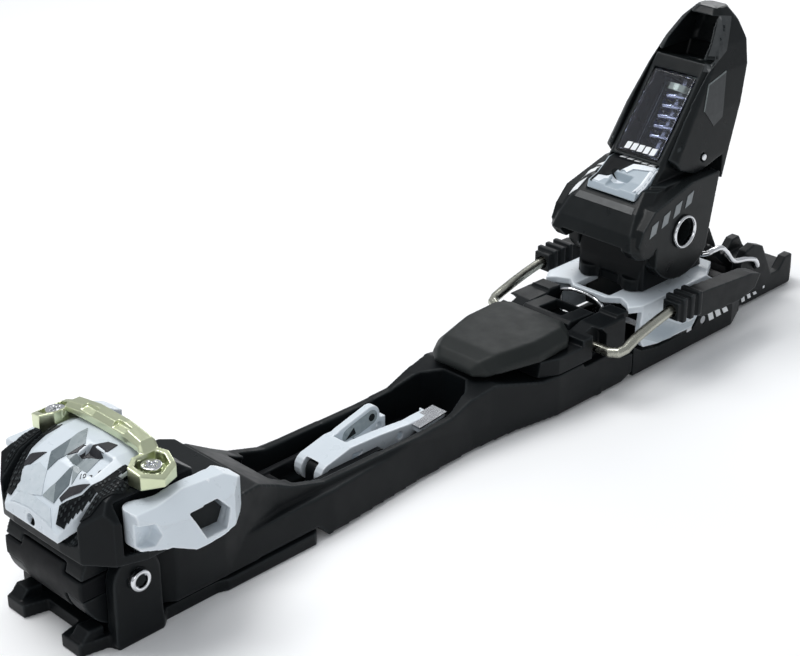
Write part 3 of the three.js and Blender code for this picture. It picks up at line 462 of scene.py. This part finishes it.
def laid_on(name, node, surfaces, outlines, material, origin, u, v, thick=0.25, cell=1.5, lift=0.02,
            steepest=0.3):
    """Thin printed or inlaid shapes: flat outlines in the plane (u, v), dropped onto the surfaces.

    Faces steeper than steepest, the cosine of their lean, are left out.
    """
    u, v = Vector(u).normalized(), Vector(v).normalized()
    out = u.cross(v).normalized()
    start = Vector(origin)
    bm = bmesh.new()
    for outline in outlines:
        bm.faces.new([bm.verts.new((start + u * a + v * b) * MM) for a, b in outline])
    for axis, k in ((u, 0), (v, 1)):
        spread = [point[k] for outline in outlines for point in outline]
        grid_cut(bm, start, axis, min(spread), max(spread), cell)
    bmesh.ops.triangulate(bm, faces=bm.faces[:])
    drop_onto(bm, surfaces, out, lift)
    for face in bm.faces:
        face.normal_update()
    steep = [face for face in bm.faces if abs(face.normal.dot(out)) < steepest]
    bmesh.ops.delete(bm, geom=steep, context="FACES")
    faces = bm.faces[:]
    bmesh.ops.recalc_face_normals(bm, faces=faces)
    if sum(face.normal.dot(out) for face in faces) < 0:
        bmesh.ops.reverse_faces(bm, faces=faces)
    bmesh.ops.solidify(bm, geom=faces, thickness=-thick * MM)
    return finished(object_of(name, bm), node, material)


def on_flank(name, node, surfaces, side, outlines, material, **how):
    """Outlines of (y, z) points laid on one side of the binding, looking straight at that side."""
    plane = dict(origin=(side * FLANK, 0, 0), u=(0, side, 0), v=(0, 0, 1))
    turned_round = [[(side * y, z) for y, z in outline] for outline in outlines]
    laid_on(name, node, surfaces, turned_round, material, **plane, **how)


def digits(name, node, surfaces, text, height, material, plane):
    """Numbers of a setting scale, printed on a surface."""
    data = bpy.data.curves.new(name, "FONT")
    data.body = text
    data.size = height
    data.resolution_u = 2
    label = bpy.data.objects.new(name + "_text", data)
    bpy.context.scene.collection.objects.link(label)
    bpy.context.view_layer.update()
    graph = bpy.context.evaluated_depsgraph_get()
    mesh = bpy.data.meshes.new_from_object(label.evaluated_get(graph))
    outlines = [[(mesh.vertices[i].co.x, mesh.vertices[i].co.y) for i in face.vertices]
                for face in mesh.polygons]
    bpy.data.objects.remove(label)
    laid_on(name, node, surfaces, outlines, material, **plane, thick=0.2, cell=3.0)


# ---------- everything hidden or simple ----------
def carried_over():
    """CAD nodes whose shape is right as it is get their finish only."""
    mounting_screws = [f"{end}_screw_{i}" for end in ("front", "rear") for i in range(1, 5)]
    steel = [*mounting_screws, "pivot_axle", "lever_pin", "link_pin", "wing_pin_left", "wing_pin_right",
             "length_screw", "heel_din_screw", "lock_bar"]
    golden = ["toe_indicator", "heel_indicator"]
    for material, nodes in ((STEEL, steel), (CHAMPAGNE, golden)):
        for node in nodes:
            part = frame["nodes"][node]
            part.data.materials.clear()
            part.data.materials.append(material)


# ---------- toe piece ----------
def front_plate():
    """The front plate on the ski, the carriage that tilts on its axle and the axle's end screws."""
    moulded("front_base", BLACK, voxel=0.55, soft=4, keep=0.3)
    moulded("pivot_carriage", DEEP, voxel=0.6, soft=3, keep=0.25)
    for side, name in SIDES:
        axle_screw(side, "axle_screw_" + name, "axle_socket_" + name)


def axle_screw(side, node, socket):
    """A flanged screw head with a bright rim round a hexagon socket, whose dark floor is painted shade, and
    its short shank.
    """
    face, middle, outer = round_end(node, side)
    radius = outer - 0.5
    rim = [(2.9, -1.9), (2.9, -0.25), (3.2, 0.0), (radius - 0.5, 0.0), (radius, -0.5),
           (radius, -2.2), (2.3, -2.4), (2.3, -9.0), (0.3, -9.0), (0.3, -1.9)]
    turned(node, CHROME, [lathe(rim, (face, *middle), (side, 0, 0), steps=48)])
    # A dark hexagon sheet in the socket: painted shade in the hole.
    floor = [(0.2, -1.88), (2.75, -1.88), (2.75, -1.1), (0.2, -1.1)]
    finished(shell_of(socket, [lathe(floor, (face, *middle), (side, 0, 0), steps=6)]), node, DEEP)


def toe_piece():
    housing = moulded("toe_housing", BLACK, voxel=0.5, soft=4, keep=0.3)
    cover = moulded("toe_cover", WHITE, voxel=0.4, soft=3, keep=0.35)
    knurl(housing, cover)
    facets(cover)
    moulded("toe_bracket", CHAMPAGNE, voxel=0.3, soft=2, keep=0.5)
    for node in ("bracket_screw_left", "bracket_screw_right"):
        moulded(node, CHROME, voxel=0.25, soft=2, keep=0.5)
    for side, name in SIDES:
        toe_wing(side, name)
    moulded("toe_din_screw", CHROME, voxel=0.3, soft=2, keep=0.5)
    moulded("toe_spring", STEEL, voxel=0.35, soft=2, keep=0.5)
    moulded("afd_base", BLACK, voxel=0.5, soft=3, keep=0.3)
    moulded("afd_plate", SATIN, voxel=0.45, soft=3, keep=0.3)


def toe_wing(side, name):
    """A light wing hollowed from its side, with its dark core at the bottom of the hollow."""
    hollow = side_slab([(-206, 44.2), (-185, 43.6), (-182.8, 51), (-188, 58.4), (-205, 58)],
                       side * 36.2, side * 44.2)
    mouth = side_slab([(-202.6, 56.6), (-195.8, 43.8), (-185.4, 43.2), (-183.2, 50.8), (-188.6, 57)],
                      side * 40, side * 60)
    node = "toe_wing_" + name
    moulded(node, WHITE, voxel=0.4, soft=3, keep=0.4, cuts=[hollow, mouth])
    core = side_slab([(-204, 46), (-187.5, 45.4), (-185, 51), (-189.4, 56.6), (-203, 56)],
                     side * 42.4, side * 43.2)
    finished(shell_of("wing_core_" + name, [core]), node, DEEP)


TOE_TOP = 80  # height of the level plane that the toe piece's prints drop from
KNURL_ROWS, KNURL_COLUMNS = 18, 20
KNURL_CORNER = (11.5, -239)
KNURL_ACROSS, KNURL_ALONG = 1.08, 1.575  # spacing of the diamonds
DIAMOND = (0.46, 0.598)  # half a diamond's width and length


def knurl(housing, cover):
    """Rows of small diamonds on a dark panel where each shoulder meets the light cover; the diamonds' lighter
    satin black is a painted sheen.
    """
    surfaces = surface_of(cover, housing)
    shoulder = [(14.6, -239.6), (12.6, -236), (18.2, -229.6), (20.4, -222), (21.4, -212), (26.8, -209.8),
                (30.4, -220), (27.4, -233), (22, -238)]
    wide, tall = DIAMOND
    spots = []
    for row in range(KNURL_ROWS):
        for column in range(KNURL_COLUMNS):
            x = KNURL_CORNER[0] + (row + 0.5 * (column % 2)) * KNURL_ACROSS
            y = KNURL_CORNER[1] + column * KNURL_ALONG
            if inside(x, y, shoulder):
                spots.append((x, y))
    for side, name in SIDES:
        outline = [(side * x, y) for x, y in shoulder]
        panel = laid_on("shoulder_panel_" + name, "toe_housing", surfaces, [outline], DEEP,
                        **above(TOE_TOP), thick=0.5, cell=0.8, steepest=0.15)
        diamonds = []
        for x, y in spots:
            diamonds.append([(side * (x - wide), y), (side * x, y - tall), (side * (x + wide), y),
                             (side * x, y + tall)])
        # The diamonds' lighter satin black over the darker panel is a painted sheen.
        laid_on("shoulder_diamonds_" + name, "toe_housing", surface_of(panel), diamonds, SATIN,
                **above(TOE_TOP), thick=0.3, cell=50.0)


def inside(x, y, outline):
    """Whether a point lies at least half a millimetre inside a flat outline."""
    hits = False
    for (x0, y0), (x1, y1) in zip(outline, outline[1:] + outline[:1]):
        if (y0 > y) != (y1 > y) and x < x0 + (y - y0) / (y1 - y0) * (x1 - x0):
            hits = not hits
        length = math.hypot(x1 - x0, y1 - y0)
        if abs((x - x0) * (y1 - y0) - (y - y0) * (x1 - x0)) / length < 0.5:
            return False
    return hits


def facets(cover):
    """Angular facets of the light cover in greys of painted shade, where faces turn from the light, the dark
    release mechanism and its scale.
    """
    surfaces = surface_of(cover)
    slate = [[(-8, -224.3), (-6.4, -215.9), (-0.4, -223.9), (-2.9, -230.1)],
             [(6.7, -224.5), (10.7, -230.1), (9.3, -236.4), (4.8, -231.9)]]
    grey = [[(-6.4, -215.9), (-6.4, -208.2), (1.5, -215.1), (-0.4, -223.9)],
            [(6.4, -224.3), (0.5, -223.4), (3.0, -219.8), (6.4, -216.5), (10.0, -215.2), (10.8, -220.5),
             (11.7, -229.6)],
            [(4.9, -231.6), (9.3, -236.4), (2.4, -236.6)]]
    pale = [[(-16.5, -233.5), (-9, -229), (-2.9, -230.1), (2.2, -236.8), (-4, -238.2), (-12, -238.4)]]
    black = [[(-17.2, -228), (-9.4, -225.4), (-13.2, -230.8), (-17.2, -232)],
             [(11.8, -230.5), (18.4, -226.0), (17.0, -229.6), (12.2, -235.0), (10.6, -234.6)],
             [(0.2, -222.8), (1.4, -216.2), (5.9, -212.9), (7.6, -209.2), (11.6, -207.8), (12.4, -213.0),
              (9.0, -215.4), (4.2, -217.4)],
             [(-21.6, -219), (-17.6, -213.6), (-18.4, -211.6), (-22.2, -216.2)]]
    # The lip along the cover's front edge is painted shade too.
    lip = [[(-13, -241), (-9, -237.9), (9.2, -237.9), (13.4, -241)]]
    for name, outlines, material, thick in (("shade_facets_dark", slate, DARK_SHADE_ON_WHITE, 0.3),
                                            ("shade_facets_mid", grey, MID_SHADE_ON_WHITE, 0.3),
                                            ("shade_facets_pale", pale, PALE_SHADE_ON_WHITE, 0.3),
                                            ("facets_black", black, DARK_INK, 0.35),
                                            ("lip", lip, PALE_SHADE_ON_WHITE, 0.3)):
        laid_on("cover_" + name, "toe_cover", surfaces, outlines, material, **above(TOE_TOP), thick=thick)
    for i, number in enumerate(("10", "8", "6", "4")):
        plane = dict(origin=(13.0 + 1.1 * i, -227.4 + 3.5 * i, TOE_TOP), u=(0.8, 0.6, 0), v=(-0.6, 0.8, 0))
        digits("cover_scale_" + number, "toe_cover", surfaces, number, 2.9, DARK_INK, plane)


# ---------- frame ----------
def long_frame():
    moulded("frame_tub", BLACK, voxel=0.6, soft=6, keep=0.25)
    tail = moulded("frame_tail", BLACK, voxel=0.5, soft=4, keep=0.3)
    mode_lever()
    moulded("toggle_link", DEEP, voxel=0.5, soft=3, keep=0.3)
    plate = moulded("heel_plate", WHITE, voxel=0.45, soft=3, keep=0.3)
    shade_plate_sides(plate)
    tail_marks(tail, plate)
    moulded("rear_base", BLACK, voxel=0.6, soft=3, keep=0.25)
    moulded("rear_catch", STEEL, voxel=0.4, soft=2, keep=0.35)
    moulded("climb_lever", BLACK, voxel=0.4, soft=2, keep=0.35)
    moulded("climb_bail", CHROME, voxel=0.35, soft=3, keep=0.5)


def capsule(start, end, radius):
    """Round-ended bar outline between two points."""
    lean = math.degrees(math.atan2(end[1] - start[1], end[0] - start[0]))
    return arc(*start, radius, lean + 90, lean + 270, 12) + arc(*end, radius, lean - 90, lean + 90, 12)


def disc(y, z, radius, x0, x1):
    """A round slab of 24 sides from x0 to x1."""
    return side_slab(arc(y, z, radius, 0, 345, 23), x0, x1)


def mode_lever():
    """The lever's two arms part behind the hinge; the far one is a round-ended eye."""
    eye_end = (-59.5, 21.8)
    channel = side_slab([(-83, 18.5), (-77, 15.5), (-36, 15.5), (-36, 40), (-83, 40)], -4.8, 3.2)
    eye = side_slab(capsule((-78, 17.2), eye_end, 5.4), -8.6, -5.0)
    moulded("mode_lever", WHITE, voxel=0.35, soft=3, keep=0.4, cuts=[channel], adds=[eye])
    # The grey dish in the eye is painted shade on the white lever.
    dish = side_slab(capsule((-74, 18.2), eye_end, 3.5), -5.2, -4.75)
    tab = side_slab([(-47.6, 18.3), (-30.6, 20.1), (-30.4, 20.7), (-47.6, 19.0)], 4.8, 13.8)
    notch = side_slab([(-75.5, 16.6), (-69.4, 17.6), (-70.6, 21.0)], -5.2, -4.6)
    _, hinge, _ = round_end("lever_pin", 1)
    # The dark holes are flat dark sheets: painted shade standing for the eye's hole and a notch.
    for name, solids, material in (("lever_dish", [dish], MID_SHADE_ON_WHITE), ("lever_tab", [tab], STEEL),
                                   ("lever_holes", [disc(*eye_end, 1.8, -5.2, -4.6), notch], DEEP),
                                   ("lever_hub", [disc(*hinge, 3.3, 8.4, 8.75)], DEEP)):
        finished(shell_of(name, solids), "mode_lever", material)


def shade_plate_sides(plate):
    """The light plate's skirts get a darker grey of painted shade along both sides, where they turn from the
    light.
    """
    side_shade_outlines = [[(88, 22), (104, 14), (168, 8), (168, 13.5), (122, 17.5), (112, 23), (96, 28.5)],
             [(124, 27.5), (134, 31.5), (156, 31.0), (168, 24), (150, 24.5)]]
    surfaces = surface_of(plate)
    for side, name in SIDES:
        on_flank("plate_shade_" + name, "heel_plate", surfaces, side, side_shade_outlines, SHADED_WHITE, thick=0.2, cell=2.0)


def slanted_bar(y, foot, wide, tall, lean):
    """A bar of (y, z) points that stands on its foot and leans towards the toe."""
    return [(y, foot), (y + wide, foot), (y + wide - lean, foot + tall), (y - lean, foot + tall)]


def tail_marks(tail, plate):
    """Slanted white bars that shrink towards the rear, along the tail's sides, and a small square."""
    bars = [slanted_bar(129.5 + 6.2 * i, 10.2 + 0.1 * i, 3.8, 7.6 - 0.9 * i, 2.0) for i in range(6)]
    bars += [slanted_bar(190.5 + 5.4 * i, 3.6 + 0.4 * i, 2.8, 3.6 - 0.9 * i, 1.2) for i in range(3)]
    bars += [slanted_bar(209.5, 5.6, 1.5, 1.4, 0)]
    surfaces = surface_of(tail, plate)
    for side, name in SIDES:
        on_flank("tail_bars_" + name, "frame_tail", surfaces, side, bars, WHITE_INK, thick=0.2, cell=50.0)


# ---------- brake ----------
def brake():
    moulded("brake_housing", BLACK, voxel=0.5, soft=4, keep=0.3)
    moulded("heel_pad", SOFT, voxel=0.6, soft=22, keep=0.4)
    moulded("brake_wire", BRONZED, voxel=0.4, soft=4, keep=0.5)
    moulded("brake_pedal", BLACK, voxel=0.45, soft=3, keep=0.35)
    moulded("brake_spring", CHROME, voxel=0.3, soft=2, keep=0.6)
    for node in ("brake_tip_left", "brake_tip_right"):
        moulded(node, BLACK, voxel=0.5, soft=3, keep=0.35)


# ---------- heel piece ----------
def heel_piece():
    """The heel cup, its lever and what they hold, on a carriage with a two-cheeked skirt in front."""
    apron = [(99.2, 39.3), (104, 39.3), (106, 58), (103.2, 60), (100.6, 50)]
    skirt = both_sides(side_slab(apron, 6.0, 18.8)) + [side_slab([(100, 43.6), *apron[2:]], -7, 7)]
    moulded("heel_carriage", BLACK, voxel=0.5, soft=5, keep=0.3, adds=skirt)
    housing = moulded("heel_housing", SATIN, voxel=0.5, soft=5, keep=0.35)
    lever = moulded("heel_lever", SATIN, voxel=0.5, soft=8, keep=0.35)
    # The cradle is moulded in painted shade: its grey stands for the light cradle turned from the light.
    cradle = moulded("heel_cradle", SHADED_WHITE, voxel=0.4, soft=3, keep=0.4)
    heel_prints(housing, lever)
    cradle_inlay(cradle)
    moulded("heel_spring", STEEL, voxel=0.35, soft=2, keep=0.5)
    for node in ("lever_hinge_pin_left", "lever_hinge_pin_right"):
        moulded(node, CHROME, voxel=0.3, soft=3, keep=0.5)
    window_scale(housing)
    window_bars(moulded("heel_window", CLEAR, voxel=0.35, soft=3, keep=0.5))
    axle_rings()


WINDOW_FACE = dict(origin=(0, 116.4, 101), u=(1, 0, 0), v=(0, 27.6, 36.6))  # the tower's sloping front
HEEL_TOP = 140  # height of the level plane that the visor's and the cradle's prints drop from


def leaning(x0, x1, start, end, lean=0):
    """A bar between two distances up a face, slanted sideways."""
    return [(x0, start), (x1, start), (x1 + lean, end), (x0 + lean, end)]


def tick(x, y, wide):
    """A short scale mark that rises to the right."""
    return [(x, y), (x + wide, y + 0.3), (x + wide, y + 1.1), (x, y + 0.8)]


def window_scale(housing):
    """Release scale behind the window: a violet strip, two columns of white marks and fine lines of painted
    glint.
    """
    surfaces = surface_of(housing)
    marks = []
    for i in range(12):
        start = 16 + 2.2 * i
        marks.append(tick(-4.6, start, 3.6 if i % 3 == 0 else 2.0))
        if i % 2:
            marks.append(tick(4.0, start + 2, 2.4))
    marks += [leaning(-1.4, -0.7, 16, 42), leaning(3.0, 3.6, 20, 42), leaning(-9, -4, 6.2, 6.9, 1),
              leaning(-3.4, -1.6, 6.0, 8.4, 0.6)]
    # Fine lines of painted glint.
    lines = [leaning(-11.2, -10.8, 4, 44), leaning(9.6, 10.2, 3, 44), leaning(-9, 9, 12.2, 12.6)]
    for name, outlines, material, thick in (("tint", [leaning(-9.4, -6.2, 13, 43)], VIOLET, 0.3),
                                            ("marks", marks, WHITE_INK, 0.25),
                                            ("lines", lines, GLINT, 0.25)):
        laid_on("window_" + name, "heel_housing", surfaces, outlines, material, **WINDOW_FACE, thick=thick)


def window_bars(window):
    """A row of white bars across the foot of the window."""
    bars = []
    for i in range(5):
        x = -8.6 + 3.8 * i
        bars.append([(x, 2.0), (x + 3.0, 2.3), (x + 3.6, 6.0), (x + 0.6, 5.7)])
    laid_on("window_print", "heel_window", surface_of(window), bars, WHITE_INK, **WINDOW_FACE,
            thick=0.2, cell=50.0)


# A plane that faces the tower's upper front corner: its origin, and its directions across and up.
SLANT = (Vector((0, 150, 150)), Vector((1, 1, 0)).normalized(), Vector((-0.31, 0.31, 0.9)).normalized())


def seen(points):
    """Points on a slanted facet, flattened onto the slanted plane."""
    origin, across, up = SLANT
    return [((Vector(p) - origin).dot(across), (Vector(p) - origin).dot(up)) for p in points]


def heel_prints(housing, lever):
    """Generic slanted bars on the visor and the cheeks, painted sheen on facets of the lever and visor, and
    painted glint lines along the lever facet's edges.
    """
    surfaces = surface_of(housing, lever)
    bars = []
    for i in range(4):
        y, z = 94.5 + 9.0 * i, 73.0 + 2.7 * i
        bars.append([(y, z - 1.6), (y + 4.8, z), (y + 6.4, z + 6.0), (y + 1.6, z + 4.4)])
    # Painted sheen on the lever's side facet, and painted glint along its edges.
    panel = [[(146, 134), (160, 137.5), (156.5, 116), (149.5, 113), (142, 122)]]
    edge = [[(146, 134), (160, 137.5), (159.9, 138.3), (145.4, 134.7)],
            [(142, 122), (146, 134), (145.3, 134.4), (141.2, 122)]]
    for side, name in SIDES:
        on_flank("cheek_bars_" + name, "heel_housing", surfaces, side, bars, GREY_INK, thick=0.2, cell=1.6)
        on_flank("lever_sheen_" + name, "heel_lever", surfaces, side, panel, SHEEN, thick=0.2, cell=3.0)
        on_flank("lever_glint_" + name, "heel_lever", surfaces, side, edge, GLINT, thick=0.25, cell=3.0)
    # Painted sheen across the visor.
    band = [[(-17, 95.4), (17, 95.4), (18.6, 88.6), (-18.6, 88.6)]]
    laid_on("visor_sheen", "heel_housing", surfaces, band, SHEEN, **above(HEEL_TOP), thick=0.2, cell=2.0)
    corner = []
    for y in (94, 103.5, 113):
        corner.append([(-22.6, y), (-18.6, y + 1.5), (-18.0, y + 8), (-21.8, y + 6.5)])
    laid_on("visor_bars", "heel_housing", surfaces, corner, WHITE_INK, **above(HEEL_TOP), thick=0.2, cell=1.6)
    # Painted sheen on the lever's rim and cap, where light catches their curve.
    rim = seen([(8.6, 165, 162.6), (10.8, 172, 161.5), (17.4, 161, 148), (17.4, 147.5, 139.8),
                (14.8, 146, 140.2), (12.6, 155, 151)])
    cap = seen([(-6, 166, 165.5), (6, 166, 165.5), (6.4, 175, 165.6), (-6.4, 175, 165.6)])
    for name, outline in (("rim", rim), ("cap", cap)):
        laid_on(f"lever_{name}_facet", "heel_lever", surfaces, [outline], SHEEN, *SLANT, thick=0.2, cell=2.0)


def cradle_inlay(cradle):
    """The cradle's dark upper part, the white rim round its seat, whose grey is painted shade, and a row of
    bars.
    """
    surfaces = surface_of(cradle)
    dark = [[(-15, 103.4), (-8, 104.6), (-2.6, 108.8), (1.8, 113.4), (15, 115.4), (15, 121), (-15, 121)],
            [(-15, 97), (-12.4, 97), (-12.4, 104.2), (-15, 103.4)]]
    rim = [[(-12.4, 98.8), (-9, 98.8), (-7.6, 102.4), (-1.6, 105.6), (3.4, 111), (14.8, 112.8),
            (14.8, 115.2), (1.8, 113.2), (-2.6, 108.6), (-8, 104.4), (-12.4, 103.6)],
           [(12.4, 99), (14.8, 99), (14.8, 112.6), (12.4, 112.2)]]
    bars = []
    for i in range(5):
        x = -9 + 4.4 * i
        bars.append([(x, 115.4), (x + 3.2, 115.7), (x + 4.0, 118), (x + 0.8, 117.7)])
    for name, outlines, material, thick, lift in (("dark", dark, DEEP, 0.4, 0.02),
                                                  ("rim", rim, WHITE, 0.7, 0.02),
                                                  ("bars", bars, WHITE_INK, 0.5, 0.1)):
        laid_on("cradle_" + name, "heel_cradle", surfaces, outlines, material, **above(HEEL_TOP),
                thick=thick, lift=lift)


def axle_rings():
    """The hollow heel axle and the bright stepped ring at each of its ends."""
    low, high = box_mm("heel_axle")
    _, middle, outer = round_end("heel_axle", 1)
    inner = outer - 0.5
    pipe = [(inner, low.x), (outer, low.x), (outer, high.x), (inner, high.x)]
    turned("heel_axle", DEEP, [lathe(pipe, (0, *middle), (1, 0, 0), steps=64)])
    for side, name in SIDES:
        face, middle, outer = round_end("heel_ring_" + name, side)
        radius = outer - 0.3
        rim = [(6.9, -2.4), (6.9, -1.0), (7.3, -0.15), (7.6, 0.0), (radius - 0.5, 0.0), (radius, -0.5),
               (radius, -1.5), (7.2, -1.6), (7.2, -2.4)]
        turned("heel_ring_" + name, CHROME, [lathe(rim, (face, *middle), (side, 0, 0), steps=64)])


place_camera()
studio()
carried_over()
front_plate()
toe_piece()
long_frame()
brake()
heel_piece()
